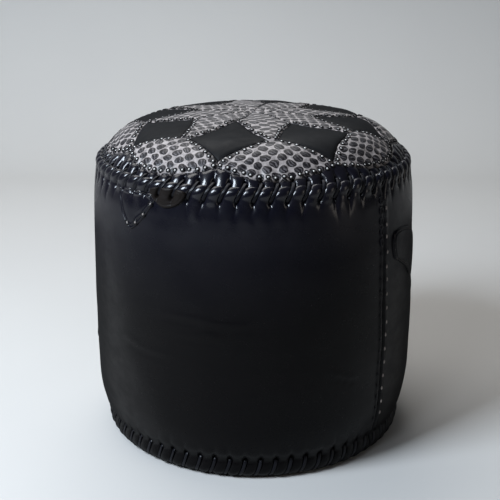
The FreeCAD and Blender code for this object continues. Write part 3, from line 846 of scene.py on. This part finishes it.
def welt(node, wrap, seed):
    """The rolled edge that the leathers wrap and the lace draws tight."""
    columns, tube = LACE_TURNS * 12, 20
    phi = (np.arange(columns) * TURN / columns)[None, :]
    side = (np.arange(tube) * TURN / tube)[:, None]
    turns = turns_at(phi) - climb(wrap[0] + np.cos(side), wrap[1] + np.sin(side), wrap)
    pinch = 0.74 + 0.26 * np.abs(np.sin(pi * turns)) + 0.05 * soft_noise(turns_at(phi), side, seed)
    tight = WELT_R * pinch
    points = round_drum(wrap[0] + tight * np.cos(side), phi, wrap[1] + tight * np.sin(side))
    faces = grid_faces(tube, columns, True, True)[:, ::-1]
    piece(node + "_roll", points, faces, LEATHER_LOOK, [node])


def lace(node, wrap, over, back, seed):
    """One thong wound round a rim: over the leather, leaning, then back inside it."""
    samples, outside = 40, 26
    line = spline_through(np.array(over + back) * MM, 8, closed=True)
    split = len(over) * 8 - 7
    line = np.concatenate([at_lengths(line[:split], np.linspace(0, 1, outside)),
                           at_lengths(np.concatenate([line[split - 1:], line[:1]]),
                                      np.linspace(0, 1, samples - outside + 2))[1:-1]])
    lean = climb(line[:, 0], line[:, 1], wrap)
    inside = samples - outside + 1
    home = LACE_LEAN + (1 - LACE_LEAN) * np.arange(1, inside) / inside
    onward = lean[outside - 1] > lean[0]
    lean[outside:] = home if onward else LACE_LEAN - home
    step = np.arange(LACE_TURNS * samples)
    whole, index = step // samples, step % samples
    phi = ((whole if onward else -whole) + lean[index]) * TURN / LACE_TURNS
    slack = 0.7 * MM * (per_turn(seed)[whole] - 0.4) * np.sin(pi * np.clip(index / outside, 0, 1)) ** 2
    outward = unit(line - np.array(wrap[:2]))
    route = line[index] + outward[index] * slack[:, None]
    path = round_drum(route[:, 0], phi, route[:, 1])
    ahead = unit(np.roll(path, -1, 0) - np.roll(path, 1, 0))
    side = unit(np.cross(ahead, round_drum(outward[index, 0], phi, outward[index, 1])))
    normal = np.cross(side, ahead)
    twist = 0.25 * soft_noise(step / samples, 0 * phi, seed + 2)[:, None]
    cosine, sine = np.cos(twist), np.sin(twist)
    side, normal = side * cosine + normal * sine, normal * cosine - side * sine
    section = np.linspace(0, TURN, 12, endpoint=False)
    wide = THONG_HALF_WIDE * np.sign(np.cos(section)) * np.abs(np.cos(section)) ** 0.6
    thick = THONG_HALF_THICK * np.sign(np.sin(section)) * np.abs(np.sin(section)) ** 0.7
    points = path[:, None] + side[:, None] * wide[None, :, None] + normal[:, None] * thick[None, :, None]
    piece(node + "_thong", points, grid_faces(len(path), len(section), True, True)[:, ::-1], THONG_LOOK,
          [node])


# A turn of the lace at each rim, as (radius, height): over the leather from its first hole to its
# last, and back inside
CROWN_OVER = [(215.2, 382.6), (217.4, 385.2), (218.2, 389.0), (218.1, 393.0), (216.7, 396.8),
              (213.8, 400.4), (210.0, 403.0), (206.6, 404.4), (204.0, 402.6)]
CROWN_BACK = [(203.2, 396.0), (206.0, 388.0), (211.0, 383.2)]
BASE_OVER = [(209.8, 29.4), (214.0, 28.4), (215.8, 23.4), (216.4, 16.0), (214.6, 8.8), (210.4, 4.2),
             (205.0, 2.4), (201.4, 4.8)]
BASE_BACK = [(200.6, 12.0), (203.2, 21.0), (206.4, 27.0)]


# ---- the upright seams ----

def wall_row(shape, half_sizes, phi, z, lift, size):
    """Copies of a template on the wall, with its half sizes across, along and out in millimetres."""
    template, faces = shape
    out = wall_normal(phi, z)
    across, along = crossed(out, [0.0, 0.0, 1.0])
    return scatter(template * (np.array(half_sizes) * MM), faces, wall_point(phi, z, lift), across * size,
                   along * size, out * size)


def seam_stitches(node, seam):
    """Beads to the right of a seam, pale as a painted glint, and dark rings to its left, larger near the rim.
    """
    z = np.arange(64 * MM, 372 * MM, 19.5 * MM)
    jitter = np.random.default_rng(17).normal(0, 0.8 * MM, (len(z), 2))
    phi = seam + (6.2 * MM + jitter[:, 0]) / DRUM_R
    # the beads carry the pale look of a painted glint
    beads = wall_row(bead_template(1.0, 0.8, 14, 5), (1.5, 2.8, 1.6), phi, z + jitter[:, 1], -0.1 * MM, 1.0)
    z = np.concatenate([np.arange(314 * MM, 374 * MM, 14 * MM), np.arange(60 * MM, 306 * MM, 17 * MM)])
    phi = np.full(len(z), seam - 6.8 * MM / DRUM_R)
    size = np.where(z > 310 * MM, 1.0, 0.5)[:, None]
    eyes = wall_row(ring_template(1.0, 0.32, 1.0), (2.6, 4.6, 2.6), phi, z, 0.1 * MM, size)
    two_looks(node + "_stitches", eyes, beads, [THONG_LOOK, GLINT_LOOK], node)


# ---- the patches sewn on the wall ----

# Angle of each patch's middle, look, slot, height off the wall, its knots' pitch and radius and
# how far left and low they go, and its smooth outline as (sideways, height)
SIDE_PATCHES = {
    "side_patch_shield": (-43.0, LEATHER_LOOK, "leather", 1.5, (19, 3.0, -12, 0),
                          [(-27, 384), (-28, 366), (-21, 348), (-5, 334), (12, 345), (28, 363), (34, 384)]),
    "side_patch_small": (-29.0, BROWN_LOOK, "patch_leather", 2.6, (11, 1.9, -40, 0),
                         [(-25, 392), (-21, 379), (-5, 370.5), (12, 373.5), (24, 382), (27, 393), (0, 395)]),
    "side_patch_leaf": (64.0, LEATHER_LOOK, "leather", 2.2, (8.5, 2.0, -40, 246),
                        [(-37, 319), (-37, 287), (-22, 276), (8, 258), (34, 239), (47, 268), (41, 297),
                         (12, 317)]),
}
PATCH_SEAM_IN = 4.1 * MM
PATCH_KNOTS_HIGH = 377 * MM


def patch_outline(corners):
    return spline_through(np.array(corners) * MM, 24, closed=True)


def side_patch(name):
    """A leather patch on the wall, with a rounded edge and a dip along its sewing.

    The brown one is worn nearly flat.
    """
    degrees_round, look, slot, lift, _, corners = SIDE_PATCHES[name]
    edge = patch_outline(corners)
    middle = edge.mean(0)
    rings_out = (np.linspace(0, 1, 30) ** 0.8)[:, None, None]
    plan_points = middle + (edge - middle)[None] * rings_out
    away = np.linalg.norm(edge - middle, axis=1)[None] * (1 - rings_out[..., 0])
    rounded = np.sqrt(np.clip(1 - (1 - np.clip(away / (2.2 * MM), 0, 1)) ** 2, 0, 1))
    cords = np.exp(-((away - 1.8 * MM) / (1.3 * MM)) ** 2) + np.exp(-((away - 6.4 * MM) / (1.3 * MM)) ** 2)
    groove = np.exp(-((away - PATCH_SEAM_IN) / (1.3 * MM)) ** 2)
    sewn = 0.2 if look is BROWN_LOOK else 1.0
    off = lift * MM * rounded + (sewn * (0.6 * cords - 0.9 * groove) + 0.5 * smooth(away / (16 * MM))) * MM
    phi = radians(degrees_round) + plan_points[..., 0] / DRUM_R
    points = wall_point(phi, plan_points[..., 1], off)
    faces = grid_faces(*points.shape[:2], wrap_columns=True)
    if np.cross(edge[1] - middle, edge[0] - middle) < 0:
        faces = faces[:, ::-1]
    piece(name + "_hide", points, faces, look, [name])


def side_patch_stitches():
    """Dark rings with a pale bead in each as a painted glint, along the sewn edges of the patches."""
    phis, heights, sizes = [], [], []
    for degrees_round, _, _, _, (pitch, radius, left, low), corners in SIDE_PATCHES.values():
        edge = patch_outline(corners)
        line = edge + unit(edge.mean(0) - edge) * PATCH_SEAM_IN
        spots = spots_along(np.concatenate([line, line[:1]]), pitch * MM)
        spots = spots[(spots[:, 1] < PATCH_KNOTS_HIGH) & (spots[:, 1] > low * MM) & (spots[:, 0] > left * MM)]
        phis.append(radians(degrees_round) + spots[:, 0] / DRUM_R)
        heights.append(spots[:, 1])
        sizes.append(np.full(len(spots), radius * MM))
    phi, z, size = np.concatenate(phis), np.concatenate(heights), np.concatenate(sizes)
    rings(wall_point(phi, z, 0.9 * MM), wall_normal(phi, z), size[:, None], "side_patch_stitches_rings",
          "side_patch_stitches", GLINT_LOOK)


# ---- the base ----

BASE_LINE = [(206.4, 7.0), (205.6, 4.8), (204.0, 2.6), (201.0, 1.2), (196, 0.2), (168, 0.2), (162, 0.9),
             (152, 8.2), (146, 9.0), (0, 9.0)]


def base_panel(name, side):
    """Half of the base: its edge gathered to the lace, its straight side round the zip's slot."""
    line = spline_through(np.array(BASE_LINE) * MM, 12)
    low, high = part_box("zip_stop_open_end")[0].x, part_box("zip_stop_closed_end")[1].x
    slot_half, hair = 7 * MM, 0.15 * MM
    outer_r = BASE_LINE[0][0] * MM
    count = LACE_TURNS // 2 * 12
    phi = np.linspace(-pi / 2, pi / 2, count + 1)
    outer = np.stack([outer_r * np.sin(phi), -outer_r * np.cos(phi)], -1)
    wing = 60
    corners = [np.array(p) for p in ((-outer_r, -hair), (low, -hair), (low, -slot_half), (high, -slot_half),
                                     (high, -hair), (outer_r, -hair))]
    inner = side_line(corners, (wing, 6, count - 2 * wing - 12, 6, wing))
    inward = np.linspace(0, 1, 64)[:, None, None] ** 1.25
    grid = outer[None] * (1 - inward) + inner[None] * inward
    r = np.linalg.norm(grid, axis=-1)
    by_r = line[np.argsort(line[:, 0])]
    z = np.interp(r, by_r[:, 0], by_r[:, 1])
    turns = turns_at(np.arctan2(grid[..., 0], -grid[..., 1])) + (0 if side < 0 else LACE_TURNS / 2)
    depth = outer_r - r
    gather = pleats(turns, depth, 81, 1.3 * MM, 9 * MM) * smooth(depth / (2 * MM))
    crumple = 0.5 * MM * soft_noise(grid[..., 0] / (24 * MM), grid[..., 1] / (24 * MM), 83)
    steep = np.clip((r - 196 * MM) / (10 * MM), 0, 1)
    z = z + (1 - steep) * (np.maximum(crumple, 0) + np.maximum(gather, 0))
    grow = 1 + steep * np.maximum(gather, 0) / np.maximum(r, 1e-3)
    points = np.stack([grid[..., 0] * grow, grid[..., 1] * grow, z], -1)
    faces = grid_faces(*grid.shape[:2])
    if side > 0:
        points = points * (-1, -1, 1)
    panel = piece(name + "_hide", points, faces[:, ::-1], LEATHER_LOOK, [name])
    thicken(panel)


# ---- the filling ----

def lathe(name, line, look, node, lumps, seed, rows=90, columns=160):
    """A closed soft body of revolution with a lumpy surface."""
    profile = cut_corners(np.array(line) * MM, 4)
    profile = at_lengths(np.concatenate([profile, profile[:1]]), np.arange(rows) / rows)
    phi = np.arange(columns) * TURN / columns
    turns = turns_at(phi)[None, :]
    r, z = profile[:, 0:1], profile[:, 1:2]
    off = lumps * MM * soft_noise(turns / 2, (r + z) / (28 * MM), seed) * smooth(r / (60 * MM))
    points = round_drum(np.maximum(r + off, 0.2 * MM), phi[None, :], z + 0 * off)
    return piece(name, points, grid_faces(len(profile), columns, True, True), look, [node])


def plump(thing, cap, pressure=4.0, frames=20):
    """Blows a pad up as cloth and keeps each point within a cap of where it was."""
    scene = bpy.context.scene
    bpy.context.view_layer.objects.active = thing
    remesh = thing.modifiers.new("even", "REMESH")
    remesh.mode = "VOXEL"
    remesh.voxel_size = 6 * MM
    bpy.ops.object.modifier_apply(modifier=remesh.name)
    count = len(thing.data.vertices)
    before, after = np.empty(count * 3), np.empty(count * 3)
    thing.data.vertices.foreach_get("co", before)
    cloth = thing.modifiers.new("cloth", "CLOTH")
    cloth.settings.use_pressure = True
    cloth.settings.uniform_pressure_force = pressure
    cloth.settings.effector_weights.gravity = 0
    for number in range(1, frames + 1):
        scene.frame_set(number)
    bpy.ops.object.modifier_apply(modifier=cloth.name)
    scene.frame_set(1)
    thing.data.vertices.foreach_get("co", after)
    move = (after - before).reshape(-1, 3)
    size = np.linalg.norm(move, axis=1)[:, None]
    kept = before.reshape(-1, 3) + move * np.minimum(1, cap / np.maximum(size, 1e-9))
    thing.data.vertices.foreach_set("co", kept.reshape(-1))
    thing.data.polygons.foreach_set("use_smooth", [True] * len(thing.data.polygons))
    thing.data.update()


# Outlines of the filling's pieces, as (radius, height)
CORE = [(1, 18), (120, 18), (186, 18), (195, 26), (195, 190), (195, 358), (187, 367), (120, 367), (1, 367)]
SLEEVE = [(198, 24), (208, 36), (217, 56), (222.5, 90), (224, 130), (223.5, 220), (221, 310), (217.5, 346),
          (212, 366), (203, 366), (197.5, 350), (197.5, 190), (197.5, 40)]
PAD = [(1, 369), (120, 369), (184, 369), (194, 378), (193, 396), (182, 414), (166, 427), (140, 434), (75, 444),
       (1, 448)]


def filling():
    foam_look = foam("foam_block", (0.52, 0.46, 0.30), (0.78, 0.73, 0.55))
    wadding_look = foam("wadding_fibre", (0.62, 0.62, 0.60), (0.88, 0.88, 0.86), 3.5 * MM)
    cotton_look = woven("cotton_liner", (0.55, 0.50, 0.42), (0.78, 0.74, 0.65))
    core = lathe("foam_core_block", CORE, foam_look, "foam_core", 0.4, 91)
    sleeve = lathe("wadding_sleeve_wrap", SLEEVE, wadding_look, "wadding_sleeve", 0.5, 92)
    pad = lathe("crown_pad_cushion", PAD, wadding_look, "crown_pad", 0.5, 93)
    plump(pad, 1.5 * MM)
    for node in ("liner_side", "liner_crown", "liner_base"):
        repaint(node, cotton_look)


# ---- CAD nodes that stay, with a better look ----

def repaint(node, look):
    NODES[node].data.materials.clear()
    NODES[node].data.materials.append(look)


def zip_looks():
    tape = woven("zip_tape_weave", (0.010, 0.010, 0.012), (0.030, 0.030, 0.034), 0.6 * MM)
    metal = brass("zip_brass")
    for node in NODES:
        if node.startswith("zip_"):
            repaint(node, tape if node.startswith("zip_tape") else metal)


# ---- the stage ----

CAMERA_AWAY = 1.351
CAMERA_HIGH = 0.703
CAMERA_TILT = radians(18.49)
CAMERA_PAN = radians(0.206)
CAMERA_LENS = 70.2


def camera():
    data = bpy.data.cameras.new("camera")
    data.lens = CAMERA_LENS
    data.sensor_width = 36
    thing = put("camera", data)
    thing.location = (0, -CAMERA_AWAY, CAMERA_HIGH)
    thing.rotation_euler = (pi / 2 - CAMERA_TILT, 0, CAMERA_PAN)
    bpy.context.scene.camera = thing


def sweep():
    """A pale floor that curves up into a backdrop."""
    bend, back, wide, top = 0.5, 1.9, 4.0, 3.2
    line = [(-4.0, 0.0)] + [(back - bend + bend * sin(a), bend - bend * cos(a))
                            for a in np.linspace(0, pi / 2, 24)] + [(back, top)]
    points = [(x, y, z) for y, z in line for x in (-wide, wide)]
    faces = [(2 * k, 2 * k + 1, 2 * k + 3, 2 * k + 2) for k in range(len(line) - 1)]
    mesh = bpy.data.meshes.new("backdrop")
    mesh.from_pydata(points, [], faces)
    mesh.polygons.foreach_set("use_smooth", [True] * len(faces))
    mesh.materials.append(pale_floor("pale_floor"))
    put("backdrop", mesh)


def soft_light(name, place, aim, size, power, color):
    data = bpy.data.lights.new(name, "AREA")
    data.shape = "RECTANGLE"
    data.size, data.size_y = size
    data.energy = power
    data.color = color
    thing = put(name, data)
    thing.location = place
    thing.rotation_euler = (Vector(aim) - Vector(place)).to_track_quat("-Z", "Y").to_euler()


def lights():
    middle = (0, 0, 0.3)
    soft_light("window", (-1.5, -1.1, 1.8), middle, (0.8, 1.0), 110, (0.78, 0.88, 1.0))
    soft_light("overhead", (-0.5, 0.9, 2.3), middle, (2.2, 1.4), 42, (1.0, 0.99, 0.98))
    soft_light("fill", (2.2, -1.2, 0.8), middle, (0.7, 1.2), 4, (1.0, 0.92, 0.84))
    soft_light("rim", (-0.7, -1.5, 1.7), (0, -0.2, 0.4), (0.35, 0.35), 5, (0.80, 0.88, 1.0))
    world = bpy.data.worlds.new("studio")
    world.use_nodes = True
    world.node_tree.nodes["Background"].inputs["Color"].default_value = (0.80, 0.84, 0.90, 1)
    world.node_tree.nodes["Background"].inputs["Strength"].default_value = 0.06
    bpy.context.scene.world = world
    bpy.context.scene.view_settings.view_transform = "Standard"


# ---- everything ----

camera()
sweep()
lights()
wall_panel("side_panel_front", SEAM_LEFT, SEAM_RIGHT)
wall_panel("side_panel_back", SEAM_RIGHT, SEAM_LEFT + TURN)
crown_patches()
crown_border()
crown_stitches()
welt("crown_rim_welt", CROWN_WRAP, 201)
welt("base_rim_welt", BASE_WRAP, 211)
lace("crown_rim_lacing", CROWN_WRAP, CROWN_OVER, CROWN_BACK, 221)
lace("base_rim_lacing", BASE_WRAP, BASE_OVER, BASE_BACK, 231)
seam_stitches("side_seam_thong_right", SEAM_RIGHT)
seam_stitches("side_seam_thong_left", SEAM_LEFT)
for strip in ("side_seam_strip_right", "side_seam_strip_left"):
    repaint(strip, LEATHER_LOOK)
for patch_name in SIDE_PATCHES:
    side_patch(patch_name)
side_patch_stitches()
base_panel("base_panel_front", -1)
base_panel("base_panel_back", 1)
filling()
zip_looks()
